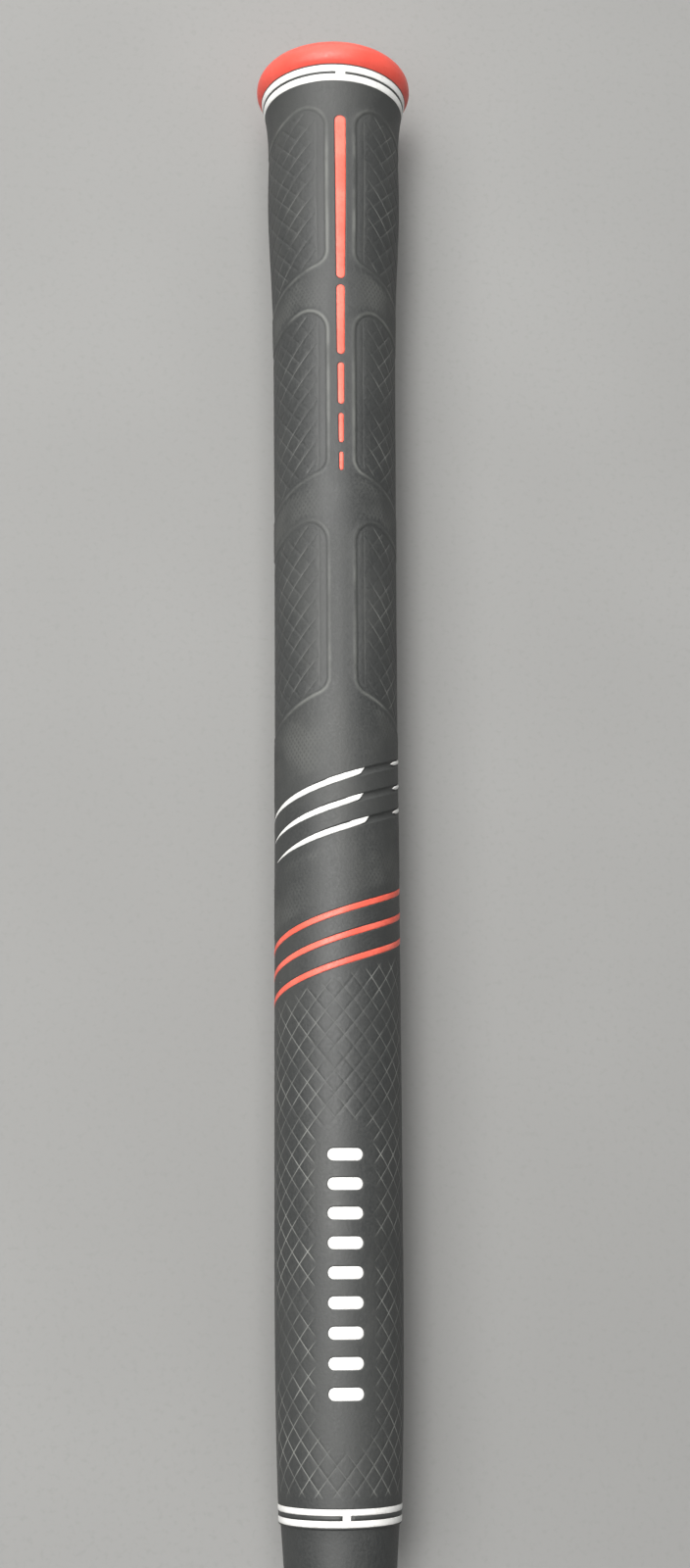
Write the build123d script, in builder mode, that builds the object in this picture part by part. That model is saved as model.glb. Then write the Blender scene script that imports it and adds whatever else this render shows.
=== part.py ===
from build123d import *
import math
import os

# A round golf grip for a 0.600 inch shaft, lying along Y: the mouth, where the
# shaft enters, is at y = 0, and the butt cap is at the +Y end. +Z is the front,
# which faces the golfer and carries the alignment dashes. Millimetres.

# Whole grip
grip_length = 267.0
bore_radius = 7.62
front_reach = 20.0

# Outer surface of the rubber, from the step of the lip to the cap: (y, radius)
lip_length = 8.5
sleeve_end = 261.8
sleeve_line = [
    (lip_length, 9.83),
    (11.6, 9.95),
    (32.0, 10.45),
    (60.0, 10.62),
    (120.0, 10.72),
    (165.0, 10.85),
    (200.0, 11.08),
    (222.0, 11.48),
    (242.0, 12.25),
    (258.8, 12.86),
    (sleeve_end, 13.50),
]

# Lip of the mouth, one step smaller than the sleeve above it
lip_radius_at_step = 9.5
lip_radius_at_mouth = 8.95
lip_round = 0.5

# Paint fills set in moulded recesses, a hair proud of the rubber
inlay_depth = 0.4
paint_proud = 0.06
mouth_ring_span = (8.64, 11.44)
mouth_ring_gap = 0.73
cap_ring_span = (258.75, 261.65)
cap_ring_gap = 0.36
ring_gap_share = 0.51
ring_bridge_width = 1.5

# Alignment dashes down the front: (low end, high end, width there, width at the high end)
dash_sizes = [
    (220.05, 252.1, 1.55, 1.90),
    (205.5, 218.9, 1.42, 1.52),
    (196.0, 203.95, 1.15, 1.20),
    (188.75, 194.35, 0.93, 0.98),
    (183.55, 187.1, 0.77, 0.79),
]

# Slanted stripes: helices on a nearly straight stretch of the sleeve
stripe_radius = 10.72
stripe_slope = 18.2
stripe_tip_width = 0.16
stripe_reach = 0.9
stripe_step = 9.0
red_stripe_fronts = [105.8, 101.55, 97.17]
red_stripe_ends = (-128.0, 128.0)
red_tapers = (40.0, 40.0)
red_stripe_width = 1.06
white_stripe_fronts = [128.53, 124.15, 119.93]
white_stripe_left_ends = [-99.0, -86.5, -78.0]
white_stripe_right_end = 108.0
white_tapers = (75.0, 30.0)
white_stripe_width = 1.16
paint_worn_from = [20.6, 19.4, 25.0]
paint_worn_to = [54.0, 56.0, 56.0]

# Hand-position gauge: plain bars across the front of the lower hand
gauge_count = 9
gauge_low = 28.6
gauge_pitch = 4.65
gauge_bar = (6.1, 2.05)

# Stiff core bonded inside the upper half
core_low = 150.0
core_wall = 1.1
core_rib_count = 6
core_rib_width = 1.6
core_rib_height = 0.5
core_rib_low = 156.0

# Butt cap: a flange outside the sleeve and a spigot inside it
flange_root_radius = 13.55
flange_radius = 14.35
flange_widest = 263.9
cap_face_radius = 12.2
cap_seam = 0.25
spigot_low = 255.0
spigot_radius = 9.9
spigot_bead_radius = 10.5
spigot_bead_span = (256.6, 259.0)
shaft_stop = 260.2
dish_radius = 9.6
dish_depth = 0.5
vent_radius = 1.3


def front_plane(height):
    """The plane parallel to the front, at this height above the grip's axis."""
    return Plane.XY.offset(height)


def stripe_plane(front, angle):
    """Cross-section plane of a stripe, `angle` degrees round from the front towards +X."""
    turn = math.radians(angle)
    slope = math.radians(stripe_slope)
    along = front + stripe_radius * turn * math.tan(slope)
    outward = Vector(math.sin(turn), 0, math.cos(turn))
    around = Vector(math.cos(turn), 0, -math.sin(turn))
    heading = around * math.cos(slope) + Vector(0, 1, 0) * math.sin(slope)
    origin = outward * stripe_radius + Vector(0, along, 0)
    return Plane(origin=origin, x_dir=outward, z_dir=heading)


def stripe_width_at(angle, ends, tapers, full_width):
    """Full width along the middle, closing to a narrow tip over each end's taper in degrees."""
    reached = min((angle - ends[0]) / tapers[0], (ends[1] - angle) / tapers[1])
    share = math.sin(0.5 * math.pi * min(1.0, max(0.0, reached)))
    return stripe_tip_width + (full_width - stripe_tip_width) * share


def stripe_recess(front, ends, tapers, full_width, span):
    """The recess for the stretch `span` of a stripe that runs between `ends`."""
    steps = max(2, math.ceil((span[1] - span[0]) / stripe_step))
    with BuildPart() as recess:
        for i in range(steps + 1):
            angle = span[0] + (span[1] - span[0]) * i / steps
            with BuildSketch(stripe_plane(front, angle)):
                Rectangle(2 * stripe_reach, stripe_width_at(angle, ends, tapers, full_width))
        loft()
        add(recess_zone.part, mode=Mode.INTERSECT)
    return recess.part


def paint_fill(recess):
    """The paint that fills a recess."""
    with BuildPart() as fill:
        add(recess)
        add(paint_form.part, mode=Mode.INTERSECT)
    return fill.part


def save(piece, name):
    piece.label = name
    export_step(piece, "parts/" + name + ".step")


os.makedirs("parts", exist_ok=True)

# The outer form of all the paint, solid to its axis
with BuildPart() as paint_form:
    with BuildSketch(Plane.YZ):
        with BuildLine():
            paint_line = Spline(*[(y, r + paint_proud) for y, r in sleeve_line])
            Polyline(paint_line @ 1, (sleeve_end, 0), (lip_length, 0), paint_line @ 0)
        make_face()
    revolve(axis=Axis.Y)

# Everything outside the floor of the paint recesses
with BuildPart() as recess_zone:
    with BuildSketch(Plane.YZ):
        with BuildLine():
            floor_line = Spline(*[(y, r - inlay_depth) for y, r in sleeve_line])
            Polyline(
                floor_line @ 1,
                (sleeve_end, front_reach),
                (lip_length, front_reach),
                floor_line @ 0,
            )
        make_face()
    revolve(axis=Axis.Y)

# Alignment dashes: round-ended strips, the first a little wider towards the butt
dash_recesses = []
for low, high, low_width, high_width in dash_sizes:
    with BuildPart() as dash:
        with BuildSketch(front_plane(0)):
            with Locations((0, low + low_width / 2)):
                Circle(low_width / 2)
            with Locations((0, high - high_width / 2)):
                Circle(high_width / 2)
            make_hull()
        extrude(amount=front_reach)
        add(recess_zone.part, mode=Mode.INTERSECT)
    dash_recesses.append(dash.part)

# Gauge bars: round-ended bars across the front
bar_recesses = []
for i in range(gauge_count):
    with BuildPart() as bar:
        with BuildSketch(front_plane(0)):
            with Locations((0, gauge_low + i * gauge_pitch)):
                SlotOverall(gauge_bar[0], gauge_bar[1])
        extrude(amount=front_reach)
        add(recess_zone.part, mode=Mode.INTERSECT)
    bar_recesses.append(bar.part)

# Red stripes: painted from tip to tip
red_recesses = []
for front in red_stripe_fronts:
    red_recesses.append(
        stripe_recess(front, red_stripe_ends, red_tapers, red_stripe_width, red_stripe_ends)
    )

# White stripes: the paint has worn out of the groove over one stretch of each
white_recesses = []
white_stripes = []
for front, left, worn_from, worn_to in zip(
    white_stripe_fronts, white_stripe_left_ends, paint_worn_from, paint_worn_to
):
    ends = (left, white_stripe_right_end)
    groove = stripe_recess(front, ends, white_tapers, white_stripe_width, ends)
    with BuildPart() as white_stripe:
        add(groove)
        with BuildSketch(Plane.XZ):
            with BuildLine():
                edge = PolarLine((0, 0), front_reach, 90 - worn_from)
                far_edge = PolarLine((0, 0), front_reach, 90 - worn_to)
                Line(edge @ 1, far_edge @ 1)
            make_face()
        extrude(amount=-grip_length, mode=Mode.SUBTRACT)
        add(paint_form.part, mode=Mode.INTERSECT)
    white_recesses.append(groove)
    white_stripes.append(white_stripe.part)


def ring_recess(span, gap):
    """Two bands round the sleeve, with a fine gap that a bridge crosses in front."""
    gap_centre = span[0] + (span[1] - span[0]) * ring_gap_share
    with BuildPart() as bands:
        with BuildSketch(Plane.XZ.offset(-span[0])):
            Circle(front_reach)
        extrude(amount=span[0] - span[1])
        with BuildSketch(Plane.XZ.offset(gap / 2 - gap_centre)):
            Circle(front_reach)
        extrude(amount=-gap, mode=Mode.SUBTRACT)
        with BuildSketch(front_plane(0)):
            with Locations((0, gap_centre)):
                Rectangle(ring_bridge_width, gap)
        extrude(amount=front_reach)
        add(recess_zone.part, mode=Mode.INTERSECT)
    return bands.part


mouth_ring_recess = ring_recess(mouth_ring_span, mouth_ring_gap)
cap_ring_recess = ring_recess(cap_ring_span, cap_ring_gap)

# Inner core: a stiff tube with ribs that stop the rubber from twisting round it
with BuildPart() as inner_core:
    with BuildSketch(Plane.XZ.offset(-core_low)):
        Circle(bore_radius + core_wall)
        Circle(bore_radius, mode=Mode.SUBTRACT)
    extrude(amount=-(spigot_low - core_low))
    with BuildSketch(Plane.XZ.offset(-core_rib_low)):
        with PolarLocations(bore_radius + core_wall, core_rib_count):
            Rectangle(2 * core_rib_height, core_rib_width)
    extrude(amount=-(spigot_low - core_rib_low))

# Butt cap: flange, spigot with a retaining bead, socket for the shaft's end, vent hole
with BuildPart() as butt_cap:
    with BuildSketch(Plane.YZ):
        with BuildLine():
            seam = Line(
                (sleeve_end, flange_root_radius - cap_seam),
                (sleeve_end + cap_seam, flange_root_radius),
            )
            rim = ThreePointArc(
                seam @ 1,
                (sleeve_end + 1.0, flange_root_radius + 0.5),
                (flange_widest, flange_radius),
            )
            crown = ThreePointArc(
                rim @ 1,
                (grip_length - 0.8, flange_radius - 0.95),
                (grip_length, cap_face_radius),
            )
            Polyline(
                crown @ 1,
                (grip_length, dish_radius + dish_depth),
                (grip_length - dish_depth, dish_radius),
                (grip_length - dish_depth, 0),
                (spigot_low, 0),
                (spigot_low, spigot_radius),
                (spigot_bead_span[0], spigot_radius),
                (spigot_bead_span[0], spigot_bead_radius),
                (spigot_bead_span[1], spigot_bead_radius),
                (spigot_bead_span[1], spigot_radius),
                (sleeve_end, spigot_radius),
                seam @ 0,
            )
        make_face()
    revolve(axis=Axis.Y)
    with BuildSketch(Plane.XZ.offset(-spigot_low)):
        Circle(bore_radius)
    extrude(amount=-(shaft_stop - spigot_low), mode=Mode.SUBTRACT)
    with BuildSketch(Plane.XZ.offset(-shaft_stop)):
        Circle(vent_radius)
    extrude(amount=-(grip_length - shaft_stop), mode=Mode.SUBTRACT)

# Rubber sleeve: the grip's body, cut for the shaft, the core, the cap and every fill
with BuildPart() as rubber_sleeve:
    with BuildSketch(Plane.YZ):
        with BuildLine():
            outer = Spline(*sleeve_line)
            Polyline(
                outer @ 1,
                (sleeve_end, bore_radius),
                (0, bore_radius),
                (0, lip_radius_at_mouth - lip_round),
            )
            ThreePointArc(
                (0, lip_radius_at_mouth - lip_round),
                (0.3 * lip_round, lip_radius_at_mouth - 0.3 * lip_round),
                (lip_round, lip_radius_at_mouth),
            )
            Polyline(
                (lip_round, lip_radius_at_mouth),
                (lip_length, lip_radius_at_step),
                outer @ 0,
            )
        make_face()
    revolve(axis=Axis.Y)
    add(inner_core.part, mode=Mode.SUBTRACT)
    add(butt_cap.part, mode=Mode.SUBTRACT)
    for recess in dash_recesses + bar_recesses + red_recesses + white_recesses:
        add(recess, mode=Mode.SUBTRACT)
    add(mouth_ring_recess, mode=Mode.SUBTRACT)
    add(cap_ring_recess, mode=Mode.SUBTRACT)

save(rubber_sleeve.part, "rubber_sleeve")
save(inner_core.part, "inner_core")
save(butt_cap.part, "butt_cap")
save(paint_fill(mouth_ring_recess), "mouth_ring")
save(paint_fill(cap_ring_recess), "cap_ring")
for number, recess in enumerate(dash_recesses, 1):
    save(paint_fill(recess), f"alignment_dash_{number}")
for number, recess in enumerate(bar_recesses, 1):
    save(paint_fill(recess), f"gauge_bar_{number}")
for number, recess in enumerate(red_recesses, 1):
    save(paint_fill(recess), f"red_stripe_{number}")
for number, white_stripe in enumerate(white_stripes, 1):
    save(white_stripe, f"white_stripe_{number}")
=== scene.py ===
import math

import bpy
import numpy as np
from mathutils import Matrix, Vector
from mathutils.geometry import delaunay_2d_cdt


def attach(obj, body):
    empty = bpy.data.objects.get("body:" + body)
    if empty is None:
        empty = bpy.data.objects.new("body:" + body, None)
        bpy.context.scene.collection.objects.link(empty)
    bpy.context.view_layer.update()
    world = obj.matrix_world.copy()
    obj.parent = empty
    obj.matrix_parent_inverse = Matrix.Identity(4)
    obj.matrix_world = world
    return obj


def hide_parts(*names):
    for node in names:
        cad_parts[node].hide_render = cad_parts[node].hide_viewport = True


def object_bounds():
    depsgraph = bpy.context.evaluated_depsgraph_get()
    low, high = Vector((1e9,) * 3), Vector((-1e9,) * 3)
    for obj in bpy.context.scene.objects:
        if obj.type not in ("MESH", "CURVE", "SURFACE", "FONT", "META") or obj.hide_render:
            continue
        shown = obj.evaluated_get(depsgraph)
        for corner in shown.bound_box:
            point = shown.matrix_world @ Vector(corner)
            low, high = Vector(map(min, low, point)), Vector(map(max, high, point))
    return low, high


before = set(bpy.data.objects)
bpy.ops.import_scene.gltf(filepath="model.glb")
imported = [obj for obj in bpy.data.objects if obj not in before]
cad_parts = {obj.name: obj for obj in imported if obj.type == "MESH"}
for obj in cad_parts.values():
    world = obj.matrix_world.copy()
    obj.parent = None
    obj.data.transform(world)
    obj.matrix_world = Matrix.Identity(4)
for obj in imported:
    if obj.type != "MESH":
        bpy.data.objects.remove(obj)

# The grip lies along Y with its mouth at y = 0 and its cap at the +Y end; +Z is the front.
# Its skin is drawn flat, as a sheet: `a` runs round the grip in millimetres on a cylinder of
# radius SHEET_RADIUS, from 0 on the front towards +X, and y runs along it. The sheet is then
# triangulated along every moulded line and wrapped round the tapered sleeve.

cad_low, cad_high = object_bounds()

MM = 0.001
SHEET_RADIUS = 11.0
HALF = math.pi * SHEET_RADIUS  # from the front to the back, round the sheet
SIDE = HALF / 2  # from the front to the side
LOW_END = 8.5  # the sheet's ends: the step of the lip, and the cap
HIGH_END = 261.8

# Outer surface of the rubber: (y, radius)
SLEEVE_LINE = [
    (8.5, 9.83), (11.6, 9.95), (32.0, 10.45), (60.0, 10.62), (120.0, 10.72), (165.0, 10.85),
    (200.0, 11.08), (222.0, 11.48), (242.0, 12.25), (258.8, 12.86), (261.8, 13.50),
]

PAINT_DEPTH = 0.26  # recess of every paint fill
WALL = 0.07  # width of a recess's steep side

# Red dashes down the front: (low end, high end, width at the low end, width at the high end)
DASHES = [
    (220.05, 252.1, 1.55, 1.90), (205.5, 218.9, 1.42, 1.52), (196.0, 203.95, 1.15, 1.20),
    (188.75, 194.35, 0.93, 0.98), (183.55, 187.1, 0.77, 0.79),
]
# White bars on the front of the lower hand: the lowest one's height, and the step between them
BAR_COUNT, BAR_LOW, BAR_PITCH = 9, 28.6, 4.65
BAR_LENGTH, BAR_WIDTH = 6.1, 2.05

# Slanted stripes. Each front is the height where a stripe's middle line crosses the front. Ends
# and tapers are degrees round the grip, and halves are half widths in millimetres.
STRIPE_RADIUS, STRIPE_SLANT = 10.72, 18.2
STRIPE_RISE = STRIPE_RADIUS * math.tan(math.radians(STRIPE_SLANT)) / SHEET_RADIUS  # y per a
STRIPE_COS = math.cos(math.atan(STRIPE_RISE))
RED_FRONTS = [105.8, 101.55, 97.17]
RED_END, RED_TAPER, RED_HALF = 128, 40, 0.53
WHITE_FRONTS = [128.53, 124.15, 119.93]
WHITE_LEFTS = [-99.0, -86.5, -78.0]
WHITE_RIGHT, WHITE_TAPERS, WHITE_HALF = 108, (75, 30), 0.58
WORN_FROM = [20.6, 19.4, 25.0]  # the white paint is worn away from here
WORN_TO = [55.0, 58.5, 58.5]  # to here
WORN_STEP = [-3.2, 0.3, 1.1]  # mm round the sheet: a small step in the paint's upper edge

# White rings: (low edge, high edge), and the width of the fine gap between their two bands
MOUTH_RING, MOUTH_RING_GAP = (8.64, 11.44), 0.73
CAP_RING, CAP_RING_GAP = (258.75, 261.65), 0.36
RING_GAP_SHARE = 0.51  # where the gap runs, as a share of the ring's height
BRIDGE_WIDTH = 1.5  # of the bridge that crosses the gap in front

# Recessed panels beside both spines, in three rows: heights of their top and bottom edges
PANEL_TOPS = [254.3, 214.4, 174.8]
PANEL_BOTTOMS = [223.0, 183.45, 143.6]
PANEL_ROW_LIMITS = (215.8, 176.2)  # heights that part the three rows
PANEL_EDGE = 2.6  # where each panel's straight edge runs, from the spine
INNER_LINE = 4.1  # where the straight line inside each panel runs, from the spine
# The slanted edges: distance from the spine where the edge's height holds, height added there,
# slope and bend towards the side
TOP_EDGE = (5.2, 0.26, -0.36, -0.012)
BOTTOM_EDGE = (4.3, 0.0, -0.40, -0.011)
SIDE_BLUNT = 1.8  # rounding of the edges where they turn at the side
# The corners beside the spine: radius, and the direction in which the slanted edge leaves
TOP_CORNER = (3.7, (0.94, -0.34))
BOTTOM_CORNER = (2.6, (0.929, -0.371))

BORE = 7.62  # radius of the bore
CORE_SEAT = 9.24  # radius of the inner core's seat
CAP_SEAT = 10.02  # radius of the seat of the cap's spigot
CAP_KEY = 10.6  # radius of the groove that holds the spigot's collar
# The sleeve from its two outer ends inwards, until they meet in the cap's groove: (y, radius)
LIP_PROFILE = [
    (8.42, 9.76), (8.40, 9.62), (8.36, 9.53), (8.2, 9.49), (6.0, 9.33), (3.5, 9.15),
    (1.2, 9.0), (0.6, 8.93), (0.25, 8.80), (0.06, 8.62), (0.0, 8.42), (0.0, 7.85),
    (0.08, 7.70), (0.24, BORE), (40, BORE), (80, BORE), (120, BORE), (150, BORE),
    (150, CORE_SEAT), (200, CORE_SEAT), (254.9, CORE_SEAT), (255.0, CAP_SEAT), (256.4, CAP_SEAT),
]
CAP_END_PROFILE = [
    (261.86, 13.42), (261.8, 13.28), (261.7, 12.8), (261.7, 10.05), (259.1, CAP_SEAT),
    (259.1, CAP_KEY), (256.4, CAP_KEY),
]
# Length of a mesh edge along a ring, the outline of a fill, the outline of a recess, a panel's
# rim, its inner line and a groove, and the distance between points on plain rubber
RING_STEP, LOOP_STEP, RECESS_STEP = 0.72, 0.36, 0.45
RIM_STEP, INNER_STEP, GROOVE_STEP, SHEET_STEP = 0.62, 0.9, 1.25, 1.15
SHEET_COLUMNS = 96  # mesh edges round both ends of the sheet


# ---- the sheet and the sleeve

def spline_through(points):
    """A natural cubic spline through (x, y) points, as a function of a numpy array."""
    xs, ys = (np.array(v, float) for v in zip(*points))
    n = len(xs)
    h = np.diff(xs)
    m = np.zeros((n, n))
    rhs = np.zeros(n)
    m[0, 0] = m[-1, -1] = 1.0
    for i in range(1, n - 1):
        m[i, i - 1], m[i, i], m[i, i + 1] = h[i - 1], 2 * (h[i - 1] + h[i]), h[i]
        rhs[i] = 6 * ((ys[i + 1] - ys[i]) / h[i] - (ys[i] - ys[i - 1]) / h[i - 1])
    bend = np.linalg.solve(m, rhs)

    def value(x):
        i = np.clip(np.searchsorted(xs, x) - 1, 0, n - 2)
        left, right = x - xs[i], xs[i + 1] - x
        return ((bend[i] * right ** 3 + bend[i + 1] * left ** 3) / (6 * h[i])
                + (ys[i] / h[i] - bend[i] * h[i] / 6) * right
                + (ys[i + 1] / h[i] - bend[i + 1] * h[i] / 6) * left)

    return value


sleeve_radius = spline_through(SLEEVE_LINE)


def smooth(t):
    t = np.clip(t, 0.0, 1.0)
    return t * t * (3 - 2 * t)


def fold(a):
    """Distance round from the nearer spine, front or back."""
    a = np.abs(a)
    return np.where(a > SIDE, HALF - a, a)


def wrap(a, y, height):
    """Points of the sheet, at a height over the sleeve, in metres."""
    turn = a / SHEET_RADIUS
    r = sleeve_radius(y) + height
    return np.stack([r * np.sin(turn), y, r * np.cos(turn)], axis=1) * MM


class Sheet:
    """Points and lines on the flat sheet, to be triangulated together."""

    def __init__(self):
        self.points = []
        self.edges = []
        self.loops = []

    def line(self, path, step, closed=False):
        """Adds a path, resampled to about this step."""
        path = np.asarray(path, float)
        if closed:
            path = np.vstack([path, path[:1]])
        reach = np.concatenate([[0], np.cumsum(np.hypot(*np.diff(path, axis=0).T))])
        if reach[-1] < 0.08:
            return
        count = max(1, math.ceil(reach[-1] / step - 1e-9))
        at = np.linspace(0, reach[-1], count + 1)
        self.polyline(np.stack([np.interp(at, reach, path[:, k]) for k in (0, 1)], axis=1), closed)

    def polyline(self, path, closed=False):
        """Adds a path as it is. A closed one ends where it starts."""
        first = len(self.points)
        count = len(path) - (1 if closed else 0)
        self.points.extend((float(p[0]), float(p[1])) for p in path[:count])
        for i in range(count - 1):
            self.edges.append((first + i, first + i + 1))
        if closed:
            self.edges.append((first + count - 1, first))
            self.loops.append(np.array(path[:count]))

    def dots(self, points):
        self.points.extend((float(p[0]), float(p[1])) for p in points)

    def border(self, columns, low, high, step):
        """Closes the sheet round its edge; both sides get every point that lies on either."""
        on_side = np.sort([y for a, y in self.points if abs(abs(a) - HALF) < 1e-6])
        on_side = on_side[np.concatenate([[True], np.diff(on_side) > 1e-4])]
        rows = np.linspace(low, high, math.ceil((high - low) / step) + 1)
        far = np.abs(rows[:, None] - on_side).min(axis=1) > 0.25 * step
        far[[0, -1]] = True
        rows = np.sort(np.concatenate([rows[far], on_side]))
        for side in (-HALF, HALF):
            self.polyline([(side, y) for y in rows])
        for y in (low, high):
            self.polyline([(a, y) for a in np.linspace(-HALF, HALF, columns + 1)])

    def triangles(self, keep=None):
        """Triangulates, welds the two sides, and returns (a, y, faces) as arrays."""
        vectors = [Vector(p) for p in self.points]
        out = delaunay_2d_cdt(vectors, self.edges, [], 0, 1e-5)
        flat = np.array([(v.x, v.y) for v in out[0]])
        faces = np.array(out[2], int)
        middle = flat[faces].mean(axis=1)
        good = np.abs(middle[:, 0]) < HALF
        corner = flat[faces]
        area = np.cross(corner[:, 1] - corner[:, 0], corner[:, 2] - corner[:, 0])
        good &= np.abs(area) > 1e-9
        if keep is not None:
            good &= keep(middle[:, 0], middle[:, 1])
        faces = faces[good]
        left = np.flatnonzero(np.abs(flat[:, 0] + HALF) < 1e-5)
        moved = np.arange(len(flat))
        for i in np.flatnonzero(np.abs(flat[:, 0] - HALF) < 1e-5):
            moved[i] = left[np.argmin(np.abs(flat[left, 1] - flat[i, 1]))]
        faces = moved[faces]
        used = np.unique(faces)
        number = np.zeros(len(flat), int)
        number[used] = np.arange(len(used))
        return flat[used, 0], flat[used, 1], number[faces]


def within(loop, a, y):
    """Whether points lie inside a closed loop, by counting the edges that lie to one side."""
    inside = np.zeros(len(a), bool)
    for (a0, y0), (a1, y1) in zip(loop, np.roll(loop, -1, axis=0)):
        if y0 != y1:
            crosses = (y0 > y) != (y1 > y)
            inside ^= crosses & (a < a0 + (y - y0) * (a1 - a0) / (y1 - y0))
    return inside


def border_loops(faces):
    """Directed edges that only one triangle uses."""
    edges = np.concatenate([faces[:, [0, 1]], faces[:, [1, 2]], faces[:, [2, 0]]])
    there = {(int(i), int(j)) for i, j in edges}
    return [(i, j) for i, j in there if (j, i) not in there]


def face_outward(a, y, faces):
    """Orders each triangle's corners so that it faces away from the axis."""
    p, q, r = (faces[:, k] for k in range(3))
    da1, da2 = a[q] - a[p], a[r] - a[p]
    da1 = np.where(da1 > HALF, da1 - 2 * HALF, np.where(da1 < -HALF, da1 + 2 * HALF, da1))
    da2 = np.where(da2 > HALF, da2 - 2 * HALF, np.where(da2 < -HALF, da2 + 2 * HALF, da2))
    area = da1 * (y[r] - y[p]) - da2 * (y[q] - y[p])
    flip = area < 0
    faces = faces.copy()
    faces[flip] = faces[flip][:, [0, 2, 1]]
    return faces


def add_object(name, data):
    piece = bpy.data.objects.new(name, data)
    bpy.context.scene.collection.objects.link(piece)
    return piece


def new_object(name, co, faces, layers=None):
    """A smooth-shaded mesh object from points in metres, with named point attributes."""
    mesh = bpy.data.meshes.new(name)
    mesh.from_pydata([tuple(map(float, c)) for c in co], [], [tuple(map(int, f)) for f in faces])
    mesh.validate()
    mesh.shade_smooth()
    for key, values in (layers or {}).items():
        layer = mesh.attributes.new(key, "FLOAT", "POINT")
        layer.data.foreach_set("value", np.asarray(values, np.float32))
    return add_object(name, mesh)


# ---- painted recesses

class Bar:
    """A round-ended painted bar from p to q, with a radius at each end."""

    def __init__(self, p, q, radius_p, radius_q):
        self.p, self.q = np.array(p, float), np.array(q, float)
        self.radius_p, self.radius_q = radius_p, radius_q
        margin = radius_q + 0.6
        self.box = (min(p[0], q[0]) - margin, max(p[0], q[0]) + margin,
                    min(p[1], q[1]) - margin, max(p[1], q[1]) + margin)

    def loops(self, inset):
        """The outline, pulled in by `inset`."""
        along = (self.q - self.p) / np.linalg.norm(self.q - self.p)
        across = np.array([-along[1], along[0]])
        loop = []
        for centre, radius, start in ((self.q, self.radius_q, -90), (self.p, self.radius_p, 90)):
            for turn in np.linspace(start, start + 180, 13):
                t = math.radians(turn)
                loop.append(centre + (radius - inset) * (along * math.cos(t) + across * math.sin(t)))
        return [np.array(loop)]

    def inside(self, a, y):
        """How far inside the bar a point is."""
        p, d = self.p, self.q - self.p
        t = np.clip(((a - p[0]) * d[0] + (y - p[1]) * d[1]) / (d @ d), 0, 1)
        gap = np.hypot(a - p[0] - t * d[0], y - p[1] - t * d[1])
        return self.radius_p + (self.radius_q - self.radius_p) * t - gap


class Stripe:
    """A slanted painted stripe round the grip, between two ends in mm round the sheet."""

    def __init__(self, front, ends, taper, full, low_edge=None, high_edge=None):
        self.front, self.ends, self.taper, self.full = front, ends, taper, full
        self.low_edge, self.high_edge = low_edge, high_edge
        rise = [front + STRIPE_RISE * e for e in ends]
        self.box = (ends[0] - 0.3, ends[1] + 0.3, min(rise) - 1.6, max(rise) + 1.6)

    def half_at(self, a, tip=0.08):
        """Half width of the stripe, closing to a fine tip over its taper at each end."""
        share = np.minimum((a - self.ends[0]) / self.taper[0], (self.ends[1] - a) / self.taper[1])
        return tip + (self.full - tip) * np.sin(0.5 * math.pi * np.clip(share, 0, 1))

    def edges_at(self, a):
        """Lower and upper edge, as distances from the stripe's middle line."""
        low = -self.half_at(a) if self.low_edge is None else self.low_edge(a)
        high = self.half_at(a) if self.high_edge is None else self.high_edge(a)
        return low, np.maximum(high, low + 0.03)

    def loops(self, inset):
        a = np.linspace(self.ends[0] + inset, self.ends[1] - inset,
                        max(3, math.ceil((self.ends[1] - self.ends[0]) / 0.45)))
        low, high = self.edges_at(a)
        middle = (low + high) / 2
        share = np.clip(1 - inset / np.maximum((high - low) / 2, 1e-6), 0.04, 4.0)
        low = middle + (low - middle) * share
        high = middle + (high - middle) * share
        base = self.front + STRIPE_RISE * a
        lower = np.stack([a, base + low / STRIPE_COS], axis=1)
        upper = np.stack([a, base + high / STRIPE_COS], axis=1)
        return [np.vstack([lower, upper[::-1]])]

    def inside(self, a, y):
        low, high = self.edges_at(a)
        off = (y - self.front - STRIPE_RISE * a) * STRIPE_COS
        return np.minimum(np.minimum(off - low, high - off),
                          np.minimum(a - self.ends[0], self.ends[1] - a))


class Ring:
    """Two bands round the grip, with a fine gap that a bridge crosses in front."""

    def __init__(self, span, gap_width):
        self.span = span
        self.gap = span[0] + (span[1] - span[0]) * RING_GAP_SHARE
        self.half_gap = gap_width / 2
        self.box = (-HALF - 1, HALF + 1, span[0] - 0.6, span[1] + 0.6)

    def paths(self, inset):
        """Open paths: the outer edges, and round each half of the gap."""
        low, high = self.span[0] + inset, self.span[1] - inset
        side, half = BRIDGE_WIDTH / 2 - inset, self.half_gap + inset
        yield [(-HALF, low), (HALF, low)]
        yield [(-HALF, high), (HALF, high)]
        for sign in (-1, 1):
            yield [(sign * HALF, self.gap - half), (sign * side, self.gap - half),
                   (sign * side, self.gap + half), (sign * HALF, self.gap + half)]

    def inside(self, a, y):
        band = np.minimum(y - self.span[0], self.span[1] - y)
        land = np.minimum(self.half_gap - np.abs(y - self.gap), np.abs(a) - BRIDGE_WIDTH / 2)
        return np.minimum(band, -land)


def in_box(shape, a, y):
    """Which points lie near a painted shape."""
    low_a, high_a, low_y, high_y = shape.box
    return (a > low_a) & (a < high_a) & (y > low_y) & (y < high_y)


def arc(degrees):
    """Degrees round the grip as mm on the sheet."""
    return math.radians(degrees) * SHEET_RADIUS


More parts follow.
